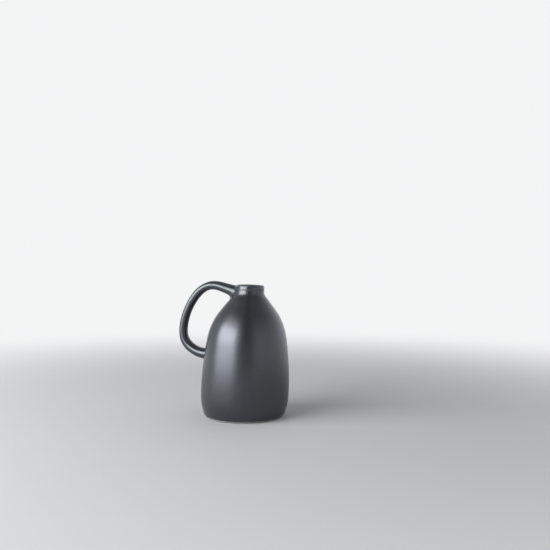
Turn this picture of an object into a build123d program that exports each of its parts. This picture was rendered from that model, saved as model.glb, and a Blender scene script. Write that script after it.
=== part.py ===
from build123d import *
from math import cos, radians, sin
import os

# A small jug-shaped bud vase in black-glazed stoneware: an egg-shaped thrown body with a
# short narrow neck, a pulled loop handle luted to it at both ends, and a turned foot ring.
#
# Frame: origin at the centre of the foot, on the plane the vase stands on. +Z is up, and
# the handle is on the -X side, in the plane Y = 0. All sizes are in millimetres.

# ---- Body: the thrown form ------------------------------------------------------------
height = 150.0          # standing plane to the middle of the rim
body_sizes = [          # outside diameter, and the height where it is measured
    (92, 2),            # underside, over the foot ring
    (98, 12),           # heel
    (101, 30),          # widest
    (94, 80),           # side
    (86, 100),          # start of the shoulder
    (72, 115),          # shoulder
    (42, 135),          # root of the neck
    (33, 143),          # neck
    (31, height)]       # rim
body_lean = 5.5         # how far the thrown axis leans to +X over the height
neck_set = 2.5          # how much further the neck has settled to +X
rim_tilt = 3.0          # degrees that the rim dips on the +X side
settle_power = 6        # the neck's settling grows with this power of the height
wall = 4.0              # wall thickness, square to the surface
rim_wall = 4.6          # the wall at the rim
floor_top = 7.5         # inside floor, above the standing plane
floor_corner = 9.0      # inside radius between the floor and the wall
lip_radius = 1.7        # rounding of the rim, inside and outside
heel_radius = 1.0       # rounding of the body's lower edge
body_rings = 37         # circles that the thrown form is lofted through
overshoot = 6.0         # the cavity is drawn this far past the rim before it is cut out

# ---- Foot: a turned ring of bare clay ---------------------------------------------------
foot_height = body_sizes[0][1]
foot_radius = 44.4      # standing radius
foot_flare = 0.6        # the ring is this much wider where it meets the body
foot_width = 7.5
foot_chamfer = 0.4

# ---- Handle: a pulled oval strap --------------------------------------------------------
handle_route = [        # middle of the strap from the neck to the belly: X, Z
    (-4, 140),          # inside the neck
    (-23, 146),         # rising away from it
    (-42, 149),         # crown of the loop
    (-54, 144),         # over the crown
    (-68, 128),         # outer side, curving down
    (-77, 106),         # furthest out
    (-76, 84),          # turning in
    (-60, 71),          # bottom of the loop
    (-42, 68)]          # inside the belly
handle_thickness = 9.5  # in the plane of the loop
handle_width = 11.6     # across it
neck_swell = 7.6        # extra thickness at the end in the neck, dying away along the strap
tail_swell = 4.8        # extra thickness at the end in the belly
swell_powers = (9, 6)   # how quickly each swell dies away
handle_rings = 33       # ovals that the strap is lofted through

# ---- Slip joints: clay smoothed into the corners between strap and body -----------------
neck_joint_radius = 4.5
tail_joint_radius = 2.2

# ---- Glaze poured inside ----------------------------------------------------------------
liner_thickness = 0.6
liner_gap = 4.0         # the liner stops this far below the rim


def steps(count):
    """count parameters spread evenly from 0 to 1."""
    return [i / (count - 1) for i in range(count)]


def ring(radius, z):
    """A circle about the thrown axis, which leans; the highest circles dip as well."""
    settled = (z / height) ** settle_power
    tilt = radians(rim_tilt) * settled
    plane = Plane(origin=(body_lean * z / height + neck_set * settled, 0, z),
                  x_dir=(cos(tilt), 0, -sin(tilt)), z_dir=(sin(tilt), 0, cos(tilt)))
    return plane * Circle(radius)


def closed_edges(shape):
    """The edges that are whole loops, without the lofts' seams."""
    return shape.edges().filter_by(lambda edge: edge.is_closed)


def thrown_form():
    """The outside of the body as one closed form, with the cavity still filled."""
    points = [outline @ t for t in steps(body_rings)]
    form = loft([ring(point.X, point.Y) for point in points])
    return fillet(closed_edges(form).sort_by(Axis.Z)[0], heel_radius)


def cavity(inset=0.0):
    """The hollow inside: the outline moved in by the wall, and by inset."""
    rings = []
    for t in steps(body_rings):
        point, along = outline @ t, outline % t
        depth = wall + (rim_wall - wall) * (point.Y / height) ** settle_power + inset
        rings.append(ring(point.X - depth * along.Y, point.Y + depth * along.X))
    rings.append(ring(body_sizes[-1][0] / 2 - rim_wall - inset, height + overshoot))
    hollow = split(loft(rings), Plane.XY.offset(floor_top + inset), keep=Keep.TOP)
    return fillet(closed_edges(hollow).sort_by(Axis.Z)[0], floor_corner - inset)


def foot():
    """The turned ring, with its standing edges chamfered."""
    inside = foot_radius - foot_width
    profile = Polygon((inside, 0), (foot_radius, 0), (foot_radius + foot_flare, foot_height),
                      (inside, foot_height), align=None)
    profile = chamfer(profile.vertices().group_by(Axis.Y)[0], foot_chamfer)
    return revolve(Plane.XZ * profile, Axis.Z)


def oval(t):
    """The strap's section at t along its route."""
    swell = neck_swell * (1 - t) ** swell_powers[0] + tail_swell * t ** swell_powers[1]
    plane = Plane(origin=route @ t, x_dir=(0, 1, 0), z_dir=route % t)
    return plane * Ellipse((handle_width + swell) / 2, (handle_thickness + swell) / 2)


def slip_joint(corner, radius):
    """The clay that rounds one corner between the strap and the body."""
    return fillet(corner, radius) - luted


outline = Spline([(across / 2, z) for across, z in body_sizes])
route = Spline([(x, 0, z) for x, z in handle_route])

thrown = thrown_form()
hollow = cavity()
body = thrown - hollow
body = fillet(closed_edges(body).sort_by(Axis.Z)[-2:], lip_radius)
liner = split(hollow - cavity(liner_thickness), Plane.XY.offset(height - liner_gap),
              keep=Keep.BOTTOM)

strap = loft([oval(t) for t in steps(handle_rings)])
luted = thrown + strap
corners = closed_edges(luted).sort_by(SortBy.LENGTH)[:2].sort_by(Axis.Z)

sub_parts = {
    "body": body,
    "foot_ring": foot(),
    "handle": strap - thrown,
    "neck_slip_joint": slip_joint(corners[1], neck_joint_radius),
    "tail_slip_joint": slip_joint(corners[0], tail_joint_radius),
    "liner_glaze": liner,
}

os.makedirs("parts", exist_ok=True)
for name, shape in sub_parts.items():
    export_step(shape, f"parts/{name}.step")
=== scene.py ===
import bmesh
import bpy
import math
import numpy as np
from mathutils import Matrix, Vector


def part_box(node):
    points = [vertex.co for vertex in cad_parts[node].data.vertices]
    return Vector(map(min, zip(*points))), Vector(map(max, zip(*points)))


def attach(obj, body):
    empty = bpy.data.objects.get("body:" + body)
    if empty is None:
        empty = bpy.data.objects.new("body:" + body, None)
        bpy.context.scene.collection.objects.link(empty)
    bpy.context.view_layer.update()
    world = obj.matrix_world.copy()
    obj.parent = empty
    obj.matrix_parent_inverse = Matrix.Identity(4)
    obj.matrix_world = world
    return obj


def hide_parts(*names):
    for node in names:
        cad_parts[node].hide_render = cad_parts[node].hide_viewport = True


# A small jug-shaped bud vase in satin black stoneware. Metres, +Z up, standing on Z = 0,
# with the handle on the -X side. The CAD solids are kept as the frame; each visible piece
# is a finer mesh of the same form with the marks of the hand: throwing rings, a soft lip,
# an uneven glaze line over the bare foot and slip smoothed into the handle's corners.

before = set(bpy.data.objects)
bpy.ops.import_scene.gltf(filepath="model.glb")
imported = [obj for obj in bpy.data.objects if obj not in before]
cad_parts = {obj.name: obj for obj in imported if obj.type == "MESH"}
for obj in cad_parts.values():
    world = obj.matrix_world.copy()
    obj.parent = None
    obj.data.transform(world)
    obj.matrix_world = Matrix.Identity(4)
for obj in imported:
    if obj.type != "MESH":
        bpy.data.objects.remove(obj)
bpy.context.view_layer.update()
MM = 0.001

# ---- Sizes: the CAD model's, except for a softer lip and a more level rim ---------------
RIM_Z = 150 * MM
BODY_SIZES = [                  # outside diameter and height, from the underside to the rim
    (92, 2), (98, 12), (101, 30), (94, 80), (86, 100), (72, 115), (42, 135), (33, 143), (31, 150)]
BODY_OUTLINE = np.array([(across / 2, z) for across, z in BODY_SIZES]) * MM
BODY_LEAN = 5.5 * MM
NECK_SET = 2.5 * MM
RIM_TILT = math.radians(2.0)    # a degree more level than the CAD rim: 0.3 mm at its edge
SETTLE_POWER = 6
WALL = 4.0 * MM
RIM_WALL = 4.6 * MM
LIP_RADIUS = 2.0 * MM
HEEL_RADIUS = 1.0 * MM
HEEL_TOP = 12 * MM              # where the heel turns into the side
FLOOR_TOP = 7.5 * MM
FLOOR_CORNER = 9.0 * MM
HANDLE_ROUTE = np.array([       # middle of the strap from the neck to the belly: X, Z
    (-4, 140), (-23, 146), (-42, 149), (-54, 144), (-68, 128), (-77, 106), (-76, 84), (-60, 71),
    (-42, 68)]) * MM
HANDLE_THICKNESS = 9.5 * MM
HANDLE_WIDTH = 11.6 * MM
NECK_SWELL = 7.6 * MM           # extra thickness at the end in the neck
TAIL_SWELL = 4.8 * MM           # and at the end in the belly
SWELL_POWERS = (9, 6)           # how quickly each dies away along the strap
LINER_THICKNESS = 0.6 * MM
LINER_GAP = 4.0 * MM            # the liner stops this far below the rim
FOOT_WIDTH = 7.5 * MM
FOOT_FLARE = 0.6 * MM

# ---- Where strap and body meet ----------------------------------------------------------
NECK_SEARCH = (0.0, 0.2)        # the strap meets the wall between these shares of its
TAIL_SEARCH = (1.0, 0.8)        # length, the first inside the body and the second outside
STRAP_SINK = 0.012              # share that it runs on inside the neck; half in the belly
NECK_JOINT = (7.0 * MM, 1.0 * MM, 5.0 * MM)     # finger gap's side, outer side, flanks
TAIL_JOINT = (1.8 * MM, 1.8 * MM, 1.8 * MM)
SLIP_FULLNESS = 0.58            # how far the slip's curve reaches towards the corner
SLIP_EDGES = [(1.12, 0.03 * MM), (1.25, 0.10 * MM)]     # share of the size, depth below
SLIP_ROOT = 0.8 * MM            # depth of the slip's back inside wall and strap

# ---- Marks of the hand, in the visual only ----------------------------------------------
THROWING = 0.006 * MM           # height of the throwing rings
RING_PITCH = 6.5 * MM
WOBBLE = 0.05 * MM              # slow unevenness of the wall
LIP_ROLL = 0.50 * MM
LIP_ROLL_AT = (3.8 * MM, 2.2 * MM)          # distance below the rim, and width
NECK_GROOVE = 0.75 * MM
NECK_GROOVE_AT = (11.4 * MM, 3.2 * MM)      # the same
GLAZE_LINE = 4.0 * MM           # height where the glaze stops
GLAZE_ROLL = 0.12 * MM          # how much thicker it is there
PULL_MARKS = 0.10 * MM          # unevenness along the strap

# ---- Mesh: how finely the curves are sampled --------------------------------------------
OUTLINE_SAMPLES = 1200
THROWN_SIDES = 192              # points round each ring of a thrown piece
WALL_ROWS = 140                 # rings of the inside wall
STRAP_SIDES = 72                # points round the strap
STRAP_ROWS = 260


def natural_spline(points):
    """A natural cubic spline through points, by chord length, as a function of 0 to 1."""
    points = np.asarray(points, float)
    knots = np.concatenate([[0], np.cumsum(np.linalg.norm(np.diff(points, axis=0), axis=1))])
    h = np.diff(knots)
    n = len(points)
    system = np.eye(n)
    rhs = np.zeros_like(points)
    for i in range(1, n - 1):
        system[i, i - 1:i + 2] = h[i - 1], 2 * (h[i - 1] + h[i]), h[i]
        rhs[i] = 6 * ((points[i + 1] - points[i]) / h[i] - (points[i] - points[i - 1]) / h[i - 1])
    curve = np.linalg.solve(system, rhs)

    def at(t):
        s = np.clip(np.asarray(t, float), 0, 1) * knots[-1]
        i = np.clip(np.searchsorted(knots, s, side="right") - 1, 0, n - 2)
        a = ((knots[i + 1] - s) / h[i])[..., None]
        b = 1 - a
        bend = (a ** 3 - a) * curve[i] + (b ** 3 - b) * curve[i + 1]
        return a * points[i] + b * points[i + 1] + bend * (h[i] ** 2)[..., None] / 6

    return at


# ---- The thrown form --------------------------------------------------------------------
def settle(z):
    """Share of the neck's settling and the rim's dip that has set in at height z."""
    return (np.asarray(z) / RIM_Z) ** SETTLE_POWER


def axis_x(z):
    """How far the thrown axis stands from the Z axis at height z."""
    return BODY_LEAN * np.asarray(z) / RIM_Z + NECK_SET * settle(z)


outline = natural_spline(BODY_OUTLINE)
outline_r, outline_z = outline(np.linspace(0, 1, OUTLINE_SAMPLES)).T


def fade(z, start, end):
    """0 at start, 1 at end, smooth between them."""
    x = np.clip((z - start) / (end - start), 0, 1)
    return x * x * (3 - 2 * x)


def hand_marks(z, phi):
    """How far the thrown surface stands off its even outline: rings left by the fingers,
    which climb one pitch a turn, and a slow wobble of the wall."""
    rings = np.sin(2 * math.pi * z / RING_PITCH - phi + 0.8 * np.sin(z / (11 * MM)))
    wobble = (np.sin(2 * phi + z / (31 * MM) + 0.7) + 0.6 * np.sin(3 * phi - z / (23 * MM) + 2.1)
              + 0.4 * np.sin(5 * phi + z / (14 * MM)))
    low = fade(z, 6 * MM, 22 * MM)
    return THROWING * rings * low * (1 - 0.6 * fade(z, 0.8 * RIM_Z, RIM_Z)) + WOBBLE * wobble * low


def neck_marks(z):
    """The lip is rolled out a little, over a shallow groove lower on the neck."""
    (roll_depth, roll_width), (groove_depth, groove_width) = LIP_ROLL_AT, NECK_GROOVE_AT
    return (LIP_ROLL * np.exp(-((z - RIM_Z + roll_depth) / roll_width) ** 2)
            - NECK_GROOVE * np.exp(-((z - RIM_Z + groove_depth) / groove_width) ** 2))


def glaze_edge(z, phi):
    """The glaze stops in a slightly thicker, uneven line just above the bare foot."""
    line = GLAZE_LINE + 0.35 * MM * np.sin(3 * phi + 1.0) + 0.2 * MM * np.sin(7 * phi + 0.4)
    return GLAZE_ROLL * np.exp(-((z - line) / (0.9 * MM)) ** 2)


def outer_radius(z, phi):
    even = np.interp(z, outline_z, outline_r)
    return even + hand_marks(z, phi) + neck_marks(z) + glaze_edge(z, phi)


def place(radius, z, phi):
    """The point at that radius and height on the leaning axis; high rings dip to +X."""
    tilt = RIM_TILT * settle(z)
    across = radius * np.cos(phi)
    return np.stack([axis_x(z) + across * np.cos(tilt), radius * np.sin(phi),
                     z - across * np.sin(tilt)], axis=-1)


def off_wall(points):
    """How far points stand outside the body's wall, square to its axis."""
    z = points[..., 2].copy()
    for _ in range(3):
        z = points[..., 2] + (points[..., 0] - axis_x(z)) * np.tan(RIM_TILT * settle(z))
    across = (points[..., 0] - axis_x(z)) / np.cos(RIM_TILT * settle(z))
    return np.hypot(across, points[..., 1]) - outer_radius(z, np.arctan2(points[..., 1], across))


def wall_normal(points):
    """Unit normals of the wall by the points, pointing outwards."""
    step = 0.02 * MM
    slope = [off_wall(points + step * e) - off_wall(points - step * e) for e in np.eye(3)]
    slope = np.stack(slope, axis=-1)
    return slope / np.linalg.norm(slope, axis=-1, keepdims=True)


# ---- Meshes -----------------------------------------------------------------------------
def make_object(name, points, faces, materials, lip_glaze_and_highlight=None, face_material=None):
    mesh = bpy.data.meshes.new(name)
    mesh.from_pydata([tuple(p) for p in points], [], faces)
    for material in materials:
        mesh.materials.append(material)
    mesh.polygons.foreach_set("use_smooth", [True] * len(faces))
    if face_material is not None:
        mesh.polygons.foreach_set("material_index", face_material)
    # Per point: how far the glaze is lightened at the lip, for a thinner glaze and a painted highlight
    # there.
    layer = mesh.attributes.new("lip_glaze_and_highlight", "FLOAT", "POINT")
    layer.data.foreach_set("value", np.zeros(len(points)) if lip_glaze_and_highlight is None else lip_glaze_and_highlight)
    shape = bmesh.new()
    shape.from_mesh(mesh)
    bmesh.ops.recalc_face_normals(shape, faces=shape.faces)
    shape.to_mesh(mesh)
    shape.free()
    piece = bpy.data.objects.new(name, mesh)
    bpy.context.scene.collection.objects.link(piece)
    return piece


def grid_faces(rows, columns, wrap_rows=False):
    """Quads of a grid of points that closes on itself across its columns."""
    i, j = np.meshgrid(np.arange(rows if wrap_rows else rows - 1), np.arange(columns), indexing="ij")
    below, above = i * columns, ((i + 1) % rows) * columns
    right = (j + 1) % columns
    quads = np.stack([below + j, below + right, above + right, above + j], axis=-1).reshape(-1, 4)
    return quads.tolist()


def cap_faces(rows, columns):
    """Triangles that close a grid's first and last row on two end points, which come
    after the grid's own points."""
    first, last = rows * columns, (rows - 1) * columns
    start = [(first, (j + 1) % columns, j) for j in range(columns)]
    return start + [(first + 1, last + j, last + (j + 1) % columns) for j in range(columns)]


def arc(middle_x, middle_z, radius_x, radius_z, start, end, count, power=1.0):
    """Points on an arc about a middle, angles in degrees; power under 1 squares it off."""
    a = np.radians(np.linspace(start, end, count))
    c, s = np.cos(a), np.sin(a)
    return np.stack([middle_x + radius_x * np.sign(c) * np.abs(c) ** power,
                     middle_z + radius_z * np.sign(s) * np.abs(s) ** power], axis=-1)


def thrown_piece(name, profile, materials, marked=None, lip_glaze_and_highlight=None, face_material=None,
                 closed=False):
    """A piece turned about the leaning axis. profile is its section as radius and height, a loop if
    closed,
    else a run that starts and ends on the axis. marked and the list after it are for a run, a value a
    ring:
    the share of the hand's marks it takes, and how far its glaze is lightened at the lip, for a thinner
    glaze and a painted highlight."""
    phi = np.linspace(0, 2 * math.pi, THROWN_SIDES, endpoint=False)
    rings = profile if closed else profile[1:-1]
    radius = np.repeat(rings[:, :1], THROWN_SIDES, 1)
    z = np.repeat(rings[:, 1:], THROWN_SIDES, 1)
    if marked is not None:
        shift = outer_radius(z, phi) - np.interp(z, outline_z, outline_r)
        radius = radius + shift * marked[1:-1, None]
    points = place(radius, z, phi).reshape(-1, 3)
    faces = grid_faces(len(rings), THROWN_SIDES, wrap_rows=closed)
    if not closed:
        ends = [place(np.zeros(1), profile[k, 1:], np.zeros(1))[0] for k in (0, -1)]
        points = np.vstack([points, ends])
        faces += cap_faces(len(rings), THROWN_SIDES)
    if lip_glaze_and_highlight is not None:
        lip_glaze_and_highlight = np.concatenate([np.repeat(lip_glaze_and_highlight[1:-1], THROWN_SIDES), lip_glaze_and_highlight[[0, -1]]])
    material_index = None
    if face_material is not None:
        middle = np.array([np.mean(points[list(f)], axis=0) for f in faces])
        material_index = face_material(middle)
    return make_object(name, points, faces, materials, lip_glaze_and_highlight, material_index)


def inner_wall(inset):
    """The inside wall from the rim down to the floor's corner: radius and height."""
    t = np.linspace(1, 0, OUTLINE_SAMPLES)
    here, step = outline(t), 1e-4
    along = outline(np.clip(t + step, 0, 1)) - outline(np.clip(t - step, 0, 1))
    along /= np.linalg.norm(along, axis=1, keepdims=True)
    depth = WALL + (RIM_WALL - WALL) * settle(here[:, 1]) + inset
    inside = here + depth[:, None] * np.stack([-along[:, 1], along[:, 0]], axis=1)
    heights = np.linspace(RIM_Z - LIP_RADIUS, FLOOR_TOP + FLOOR_CORNER, WALL_ROWS)
    order = np.argsort(inside[:, 1])
    return np.stack([np.interp(heights, inside[order, 1], inside[order, 0]), heights], axis=1)


def floor_profile(wall_foot, inset):
    """The rounded corner and the floor, from the wall in to the axis."""
    corner = FLOOR_CORNER - inset
    middle = wall_foot[0] - corner
    bend = arc(middle, FLOOR_TOP + inset + corner, corner, corner, 0, -90, 14)
    flat = [(middle * share, FLOOR_TOP + inset) for share in (0.85, 0.6, 0.35, 0.15, 0.0)]
    return np.vstack([bend, flat])


def body_profile():
    """Section of the body: underside, heel, outside, lip, inside and floor."""
    base_r, base_z = BODY_OUTLINE[0]
    under = [(base_r * share, base_z) for share in (0.0, 0.2, 0.45, 0.7, 0.85, 0.95)]
    bend = arc(base_r - HEEL_RADIUS, base_z + HEEL_RADIUS, HEEL_RADIUS, HEEL_RADIUS, -90, 0, 7)
    outside_z = np.concatenate([np.linspace(base_z + 1.3 * HEEL_RADIUS, HEEL_TOP, 30)[:-1],
                                np.linspace(HEEL_TOP, RIM_Z - LIP_RADIUS, 240)])
    outside = np.stack([np.interp(outside_z, outline_z, outline_r), outside_z], axis=1)
    inside = inner_wall(0.0)
    lip_r = (outside[-1, 0] + inside[0, 0]) / 2
    lip = arc(lip_r, RIM_Z - LIP_RADIUS, (outside[-1, 0] - inside[0, 0]) / 2, LIP_RADIUS,
              0, 180, 25, power=0.8)[1:-1]
    profile = np.vstack([under, bend, outside, lip, inside, floor_profile(inside[-1], 0.0)])
    marked = np.zeros(len(profile))
    start = len(under)
    marked[start:start + len(bend) + len(outside)] = 1
    first_lip = start + len(bend) + len(outside)
    marked[first_lip:first_lip + len(lip)] = np.linspace(1, 0, len(lip) + 2)[1:-1]
    # How far the glaze is lightened towards the lip: it runs thinner there, and the lighter colour also
    # paints the lip's highlight.
    top = profile[:, 1] - (RIM_Z - 2.2 * LIP_RADIUS)
    lip_glaze_and_highlight = np.clip(top / (2.2 * LIP_RADIUS), 0, 1) ** 1.5
    return profile, marked, lip_glaze_and_highlight


# ---- Handle -----------------------------------------------------------------------------
route = natural_spline(np.insert(HANDLE_ROUTE, 1, 0.0, axis=1))


def strap(t, theta):
    """The strap's surface: t runs from the neck to the belly, theta round its oval from
    the side that faces the finger gap."""
    t, theta = np.broadcast_arrays(np.asarray(t, float), np.asarray(theta, float))
    step = 1e-3
    along = route(np.clip(t + step, 0, 1)) - route(np.clip(t - step, 0, 1))
    along /= np.linalg.norm(along, axis=-1, keepdims=True)
    inward = np.stack([-along[..., 2], np.zeros(t.shape), along[..., 0]], axis=-1)
    swell = NECK_SWELL * (1 - t) ** SWELL_POWERS[0] + TAIL_SWELL * t ** SWELL_POWERS[1]
    pulled = PULL_MARKS * (np.sin(17 * t + 0.5) + 0.6 * np.sin(31 * t + 2.0))
    half_thick = (HANDLE_THICKNESS + swell) / 2 + pulled
    half_wide = (HANDLE_WIDTH + swell) / 2 - 0.6 * pulled
    across = np.zeros(t.shape + (3,))
    across[..., 1] = half_wide * np.sin(theta)
    return route(t) + inward * (half_thick * np.cos(theta))[..., None] + across


def crossing(inside, outside, theta):
    """For each theta, the t where the strap's surface meets the body's wall."""
    low, high = np.full(theta.shape, inside), np.full(theta.shape, outside)
    for _ in range(40):
        middle = (low + high) / 2
        out = off_wall(strap(middle, theta)) > 0
        high, low = np.where(out, middle, high), np.where(out, low, middle)
    return (low + high) / 2


def handle_piece(material):
    """The strap between its two crossings with the wall, run on a little and capped."""
    theta = np.linspace(0, 2 * math.pi, STRAP_SIDES, endpoint=False)
    neck_end = crossing(*NECK_SEARCH, theta).min()
    tail_end = crossing(*TAIL_SEARCH, theta).max()
    t = np.linspace(neck_end - STRAP_SINK, tail_end + STRAP_SINK / 2, STRAP_ROWS)
    rows = strap(t[:, None], theta)
    points = np.vstack([rows.reshape(-1, 3), rows[[0, -1]].mean(axis=1)])
    faces = grid_faces(STRAP_ROWS, STRAP_SIDES) + cap_faces(STRAP_ROWS, STRAP_SIDES)
    return make_object("handle_strap", points, faces, [material])


def slip_joint(name, search, radii, material):
    """Clay rounding the corner between strap and wall. radii are its sizes on the finger
    gap's side, the outer side and the flanks."""
    inside, outside = search
    theta = np.linspace(0, 2 * math.pi, STRAP_SIDES, endpoint=False)
    gap_side, far_side, flank = radii
    ahead, behind = np.clip(np.cos(theta), 0, 1) ** 2, np.clip(-np.cos(theta), 0, 1) ** 2
    radius = flank + (gap_side - flank) * ahead + (far_side - flank) * behind
    t_hit = crossing(inside, outside, theta)
    hit = strap(t_hit, theta)
    step = 1e-4 * np.sign(outside - inside)
    away = strap(t_hit + step, theta) - hit
    speed = np.linalg.norm(away, axis=1) / abs(step)
    away /= np.linalg.norm(away, axis=1, keepdims=True)
    around = strap(t_hit, theta + 1e-3) - strap(t_hit, theta - 1e-3)
    tube_normal = np.cross(around, away)
    tube_normal /= np.linalg.norm(tube_normal, axis=1, keepdims=True)
    outward = hit - route(t_hit)
    tube_normal *= np.sign((tube_normal * outward).sum(axis=1, keepdims=True))
    normal = wall_normal(hit)
    spread = tube_normal - (tube_normal * normal).sum(axis=1, keepdims=True) * normal
    spread /= np.linalg.norm(spread, axis=1, keepdims=True)

    def on_wall(points, sink=0.0):
        for _ in range(4):
            points = points - wall_normal(points) * (off_wall(points) + sink)[:, None]
        return points

    def on_strap(distance, sink=0.0):
        points = strap(t_hit + np.sign(outside - inside) * distance / speed, theta)
        return points - tube_normal * sink

    wall_end = on_wall(hit + spread * radius[:, None])
    strap_end = on_strap(radius)
    rows = [on_strap(radius * share, depth) for share, depth in reversed(SLIP_EDGES)]
    near = strap_end + SLIP_FULLNESS * (hit - strap_end)
    far = wall_end + SLIP_FULLNESS * (hit - wall_end)
    for u in np.linspace(0, 1, 17):
        rows.append((1 - u) ** 3 * strap_end + 3 * (1 - u) ** 2 * u * near
                    + 3 * (1 - u) * u ** 2 * far + u ** 3 * wall_end)
    for share, depth in SLIP_EDGES:
        rows.append(on_wall(hit + spread * (radius * share)[:, None], depth))
    rows.append(on_wall(hit - normal * SLIP_ROOT, SLIP_ROOT) - tube_normal * SLIP_ROOT)
    rows = np.array(rows)
    faces = grid_faces(len(rows), len(theta), wrap_rows=True)
    return make_object(name, rows.reshape(-1, 3), faces, [material])


# ---- Materials --------------------------------------------------------------------------
class Nodes:
    """A material's node tree, built a node at a time."""

    def __init__(self, name):
        self.material = bpy.data.materials.new(name)
        self.material.use_nodes = True
        self.start(self.material.node_tree)
        self.place = self.add("ShaderNodeTexCoord").outputs["Object"]

    @classmethod
    def of(cls, tree):
        """The same tools for the world's tree."""
        made = cls.__new__(cls)
        made.start(tree)
        return made

    def start(self, tree):
        self.tree = tree
        tree.nodes.clear()

    def add(self, kind, settings=None, **inputs):
        made = self.tree.nodes.new(kind)
        for key, value in (settings or {}).items():
            setattr(made, key, value)
        for key, value in inputs.items():
            self.put(made.inputs[key.replace("_", " ")], value)
        return made

    def put(self, socket, value):
        if isinstance(value, bpy.types.NodeSocket):
            self.tree.links.new(value, socket)
        else:
            socket.default_value = value

    def noise(self, scale, detail, rough=0.5, stretch=None):
        place = self.place
        if stretch is not None:
            place = self.add("ShaderNodeMapping", Vector=place, Scale=stretch).outputs["Vector"]
        made = self.add("ShaderNodeTexNoise", Vector=place, Scale=scale, Detail=detail, Roughness=rough)
        return made.outputs["Fac"]

    def ramp(self, value, low, high, to_low=0.0, to_high=1.0):
        made = self.add("ShaderNodeMapRange", {"clamp": True}, Value=value, From_Min=low,
                        From_Max=high, To_Min=to_low, To_Max=to_high)
        return made.outputs["Result"]

    def math(self, operation, a, b):
        made = self.add("ShaderNodeMath", {"operation": operation})
        self.put(made.inputs[0], a)
        self.put(made.inputs[1], b)
        return made.outputs[0]

    def mix(self, share, a, b):
        made = self.add("ShaderNodeMix", {"data_type": "RGBA"})
        self.put(made.inputs["Factor"], share)
        self.put(made.inputs["A"], a)
        self.put(made.inputs["B"], b)
        return made.outputs["Result"]

    def specks(self, scale, size, share):
        """Round dots of that size, as a share of their spacing, on a share of the cells."""
        cells = self.add("ShaderNodeTexVoronoi", Vector=self.place, Scale=scale, Randomness=1.0)
        dots = self.ramp(cells.outputs["Distance"], size, size * 0.55)
        chosen = self.add("ShaderNodeSeparateColor", Color=cells.outputs["Color"]).outputs[0]
        return self.math("MULTIPLY", dots, self.math("LESS_THAN", chosen, share))

    def bump(self, height, distance, strength, normal=None):
        made = self.add("ShaderNodeBump", Height=height, Distance=distance, Strength=strength)
        if normal is not None:
            self.put(made.inputs["Normal"], normal)
        return made.outputs["Normal"]

    def surface(self, constants=None, **inputs):
        shader = self.add("ShaderNodeBsdfPrincipled", **inputs)
        for key, value in (constants or {}).items():
            shader.inputs[key].default_value = value
        output = self.add("ShaderNodeOutputMaterial", Surface=shader.outputs["BSDF"])
        self.tree.nodes.active = output
        return self.material


BACKDROP = (0.90, 0.905, 0.91, 1)       # what the camera sees round the vase


def grey(value, warm=0.0):
    """A near-neutral colour; warm above 0 leans to brown and below 0 to blue."""
    return (value * (1 + warm), value, value * (1 - warm), 1.0)


def black_glaze():
    n = Nodes("satin_black_glaze")
    clouds = n.ramp(n.noise(26, 4.0, 0.55), 0.32, 0.68)
    breaks = n.ramp(n.noise(190, 3.0, 0.6), 0.35, 0.7)
    colour = n.mix(clouds, grey(0.009, -0.06), grey(0.014, -0.10))
    colour = n.mix(n.math("MULTIPLY", breaks, 0.30), colour, grey(0.020, -0.02))
    # Lighter, warmer glaze at the lip: partly a thinner glaze, partly a painted highlight on the lip.
    lip_glaze_and_highlight = n.add("ShaderNodeAttribute", {"attribute_name": "lip_glaze_and_highlight"}).outputs["Fac"]
    lip_break_and_highlight = n.math("MULTIPLY", lip_glaze_and_highlight, n.ramp(n.noise(420, 3.0), 0.35, 0.6))
    colour = n.mix(n.math("MULTIPLY", lip_break_and_highlight, 0.55), colour, grey(0.075, 0.10))
    specks = n.specks(620, 0.20, 0.22)
    colour = n.mix(n.math("MULTIPLY", specks, 0.45), colour, grey(0.060, 0.04))
    rough = n.ramp(n.noise(75, 4.0, 0.6), 0.3, 0.7, 0.28, 0.33)
    rough = n.math("ADD", rough, n.math("MULTIPLY", specks, 0.12))
    rough = n.math("ADD", rough, n.math("MULTIPLY", lip_break_and_highlight, 0.10))
    peel = n.bump(n.noise(300, 2.0, 0.5), 0.05 * MM, 0.25)
    pits = n.specks(480, 0.16, 0.12)
    normal = n.bump(n.math("SUBTRACT", 1.0, pits), 0.05 * MM, 0.4, peel)
    grain = n.bump(n.noise(1500, 2.0, 0.6), 0.015 * MM, 0.25, normal)
    return n.surface({"IOR": 1.75, "Specular Tint": (0.95, 0.985, 1.07, 1.0)},
                     Base_Color=colour, Roughness=rough, Normal=grain)


def bare_clay():
    n = Nodes("bare_stoneware")
    clouds = n.ramp(n.noise(60, 4.0, 0.6), 0.3, 0.7)
    colour = n.mix(clouds, grey(0.150, 0.02), grey(0.215, 0.03))
    dark = n.specks(900, 0.26, 0.20)
    colour = n.mix(n.math("MULTIPLY", dark, 0.7), colour, grey(0.05, 0.12))
    grog = n.specks(700, 0.22, 0.14)
    colour = n.mix(n.math("MULTIPLY", grog, 0.5), colour, grey(0.42, 0.05))
    rough = n.ramp(n.noise(300, 3.0), 0.3, 0.7, 0.78, 0.92)
    turned = n.bump(n.noise(380, 2.0, 0.5, (1.0, 1.0, 4.0)), 0.12 * MM, 0.6)
    normal = n.bump(n.math("ADD", n.noise(1300, 3.0, 0.7), grog), 0.12 * MM, 0.7, turned)
    return n.surface(Base_Color=colour, Roughness=rough, Normal=normal)


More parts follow.
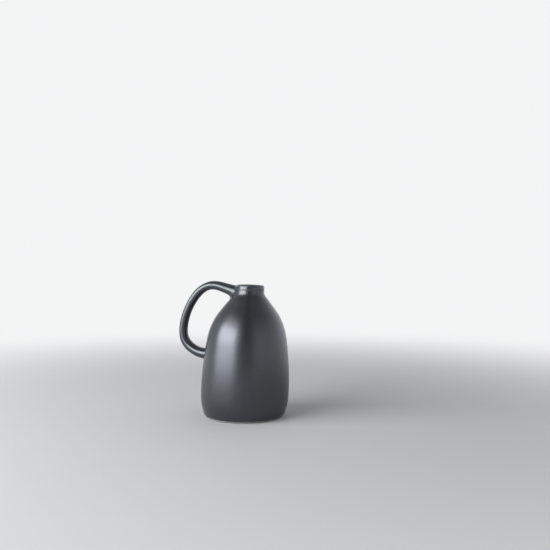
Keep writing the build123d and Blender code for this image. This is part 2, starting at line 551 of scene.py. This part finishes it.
def liner_glaze():
    n = Nodes("liner_black_glaze")
    pools = n.ramp(n.noise(35, 3.0, 0.5), 0.35, 0.65)
    colour = n.mix(pools, grey(0.012, -0.05), grey(0.020, 0.02))
    rough = n.ramp(n.noise(90, 3.0, 0.5), 0.3, 0.7, 0.16, 0.26)
    ripple = n.bump(n.noise(120, 3.0, 0.5), 0.25 * MM, 0.4)
    pits = n.bump(n.math("SUBTRACT", 1.0, n.specks(430, 0.18, 0.12)), 0.08 * MM, 0.6, ripple)
    return n.surface({"IOR": 1.5}, Base_Color=colour, Roughness=rough, Normal=pits)


def pale_floor():
    """Pale and matt round the vase, and melting into the backdrop further out."""
    n = Nodes("pale_floor")
    colour = n.mix(n.noise(3.0, 3.0), grey(0.52, 0.004), grey(0.54, 0.0))
    rough = n.ramp(n.noise(40, 3.0), 0.3, 0.7, 0.75, 0.85)
    normal = n.bump(n.noise(500, 2.0), 0.1 * MM, 0.2)
    near = n.add("ShaderNodeBsdfPrincipled", Base_Color=colour, Roughness=rough, Normal=normal)
    near.inputs["Specular IOR Level"].default_value = 0.12
    far = n.add("ShaderNodeEmission", Color=BACKDROP, Strength=1.0)
    reach = n.add("ShaderNodeVectorMath", {"operation": "LENGTH"})
    n.put(reach.inputs[0], n.place)
    melt = n.add("ShaderNodeMapRange", {"interpolation_type": "SMOOTHERSTEP"},
                 Value=reach.outputs["Value"], From_Min=0.12, From_Max=1.1)
    both = n.add("ShaderNodeMixShader")
    n.put(both.inputs[0], melt.outputs["Result"])
    n.put(both.inputs[1], near.outputs[0])
    n.put(both.inputs[2], far.outputs[0])
    n.add("ShaderNodeOutputMaterial", Surface=both.outputs[0])
    return n.material


# ---- Pieces -----------------------------------------------------------------------------
glaze, clay, liner_finish = black_glaze(), bare_clay(), liner_glaze()


def bare_underside(middle):
    """Material 1, the bare clay, on the underside inside the glaze line; 0 elsewhere."""
    return (middle[:, 2] < BODY_OUTLINE[0, 1] + 0.05 * MM).astype(int)


def body_piece():
    profile, marked, lip_glaze_and_highlight = body_profile()
    return thrown_piece("body_thrown", profile, [glaze, clay], marked, lip_glaze_and_highlight, bare_underside)


def foot_piece():
    """The turned ring, its edges softened, with the body's underside just above it."""
    low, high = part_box("foot_ring")
    outer, top = (high.x - low.x) / 2, high.z
    stand = outer - FOOT_FLARE
    inner, soft = stand - FOOT_WIDTH, 0.45 * MM
    loop = np.vstack([
        arc(inner + soft, soft, soft, soft, 180, 270, 6),
        arc(stand - soft, soft, soft, soft, 270, 350, 6),
        [(outer - 0.15 * MM, top * 0.6), (outer, top)],
        [(inner + 3 * MM, top), (inner, top)]])
    return thrown_piece("foot_turned_ring", loop, [clay], closed=True)


def liner_piece():
    """The glaze inside: out along the clay, over a soft edge below the lip, and back."""
    top = RIM_Z - LINER_GAP
    clay_side, free_side = inner_wall(0.0), inner_wall(LINER_THICKNESS)
    clay_side = clay_side[clay_side[:, 1] < top]
    free_side = free_side[free_side[:, 1] < top]
    middle = (clay_side[0, 0] + free_side[0, 0]) / 2
    edge = arc(middle, top, (clay_side[0, 0] - free_side[0, 0]) / 2, LINER_THICKNESS,
               0, 180, 9)[1:-1]
    profile = np.vstack([floor_profile(clay_side[-1], 0.0)[::-1], clay_side[::-1], edge,
                         free_side, floor_profile(free_side[-1], LINER_THICKNESS)])
    return thrown_piece("liner_coat", profile, [liner_finish])


pieces = [
    (body_piece(), "body", "black_glaze"),
    (foot_piece(), "foot_ring", "bare_clay"),
    (handle_piece(glaze), "handle", "black_glaze"),
    (slip_joint("neck_slip", NECK_SEARCH, NECK_JOINT, glaze), "neck_slip_joint", "black_glaze"),
    (slip_joint("tail_slip", TAIL_SEARCH, TAIL_JOINT, glaze), "tail_slip_joint", "black_glaze"),
    (liner_piece(), "liner_glaze", "liner_glaze"),
]
for piece, node, slot in pieces:
    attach(piece, "root")
    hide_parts(node)


# ---- Stage: floor, light and camera -----------------------------------------------------
CAMERA_TURN = math.radians(20)      # camera and lights stand this far round to the right
CAMERA_PLACE = (35.5 * MM, -760 * MM, 172 * MM)
CAMERA_DIP = 0.8                    # degrees that it looks down
CAMERA_LENS = 43.2                  # on a 36 mm sensor
DAYLIGHT = (0.94, 0.97, 1.0)        # tint of the three windows
WINDOWS = [                         # name, place, aimed at, width and height, watts
    ("window", (-1.03, -0.59, 0.57), (0, 0, 0.08), (1.34, 0.52), 18.6),
    ("window_low", (-1.00, -0.64, 0.20), (0, 0, 0.05), (1.30, 0.34), 5.9),
    ("window_top", (-0.95, -0.55, 1.02), (0, 0, 0.10), (1.20, 0.40), 3.0)]
FLOOR_REACH = 4.0                   # metres from the vase to the floor's sides


def floor():
    """A plain pale floor, as stage and not part of the vase."""
    mesh = bpy.data.meshes.new("floor")
    corners = [(x * FLOOR_REACH, y * FLOOR_REACH, 0) for x, y in ((-1, -1), (1, -1), (1, 1), (-1, 1))]
    mesh.from_pydata(corners, [], [(0, 1, 2, 3)])
    mesh.materials.append(pale_floor())
    made = bpy.data.objects.new("floor", mesh)
    bpy.context.scene.collection.objects.link(made)


def turned(x, y, z):
    """A place in the studio, which is turned about the Z axis with the camera."""
    c, s = math.cos(CAMERA_TURN), math.sin(CAMERA_TURN)
    return Vector((c * x - s * y, s * x + c * y, z))


def soft_light(name, place, target, size, power):
    """A large soft window, turned with the studio."""
    data = bpy.data.lights.new(name, "AREA")
    data.shape = "RECTANGLE"
    data.size, data.size_y = size
    data.energy, data.color = power, DAYLIGHT
    made = bpy.data.objects.new(name, data)
    made.location = turned(*place)
    made.rotation_euler = (turned(*target) - made.location).to_track_quat("-Z", "Y").to_euler()
    bpy.context.scene.collection.objects.link(made)


def sky():
    """Even pale surroundings for the camera. For the glaze to mirror: a pale room, dimmer
    overhead, to the left and in a band in front, where the photographer stands."""
    world = bpy.data.worlds.new("studio")
    bpy.context.scene.world = world
    world.use_nodes = True
    n = Nodes.of(world.node_tree)
    around = n.add("ShaderNodeTexCoord").outputs["Generated"]
    around = n.add("ShaderNodeVectorRotate", {"rotation_type": "Z_AXIS"}, Vector=around,
                   Angle=-CAMERA_TURN).outputs["Vector"]
    flat = n.add("ShaderNodeVectorMath", {"operation": "MULTIPLY"})
    n.put(flat.inputs[0], around)
    n.put(flat.inputs[1], (1.0, 1.0, 0.0))
    level = n.add("ShaderNodeVectorMath", {"operation": "NORMALIZE"})
    n.put(level.inputs[0], flat.outputs[0])
    sides = n.add("ShaderNodeSeparateXYZ", Vector=level.outputs[0])
    facing, rightward = sides.outputs["Y"], sides.outputs["X"]
    height = n.add("ShaderNodeSeparateXYZ", Vector=around).outputs["Z"]
    side = n.ramp(facing, -0.985, -0.90, 0.12, 0.90)
    back = n.ramp(facing, -0.3, 0.8, 0.0, 0.35)
    dim = n.ramp(height, 0.25, 0.85, 1.0, 0.35)
    left = n.ramp(rightward, -0.9, 0.1, 0.60, 1.0)
    strength = n.math("MULTIPLY", n.math("MULTIPLY", n.math("ADD", side, back), dim), left)
    room = n.add("ShaderNodeBackground", Color=(0.95, 0.98, 1.03, 1), Strength=strength)
    seen = n.add("ShaderNodeBackground", Color=BACKDROP, Strength=1.0)
    choose = n.add("ShaderNodeMixShader")
    n.put(choose.inputs[0], n.add("ShaderNodeLightPath").outputs["Is Camera Ray"])
    n.put(choose.inputs[1], room.outputs[0])
    n.put(choose.inputs[2], seen.outputs[0])
    n.add("ShaderNodeOutputWorld", Surface=choose.outputs[0])


def camera():
    """A level view from a little above the rim, with the handle turned a little away."""
    data = bpy.data.cameras.new("camera")
    data.sensor_width, data.lens = 36.0, CAMERA_LENS
    made = bpy.data.objects.new("camera", data)
    made.location = turned(*CAMERA_PLACE)
    made.rotation_euler = (math.radians(90 - CAMERA_DIP), 0, CAMERA_TURN)
    data.clip_start, data.clip_end = 0.05, 50
    bpy.context.scene.collection.objects.link(made)
    bpy.context.scene.camera = made


floor()
sky()
for window in WINDOWS:
    soft_light(*window)
camera()

scene = bpy.context.scene
scene.view_settings.view_transform = "Standard"
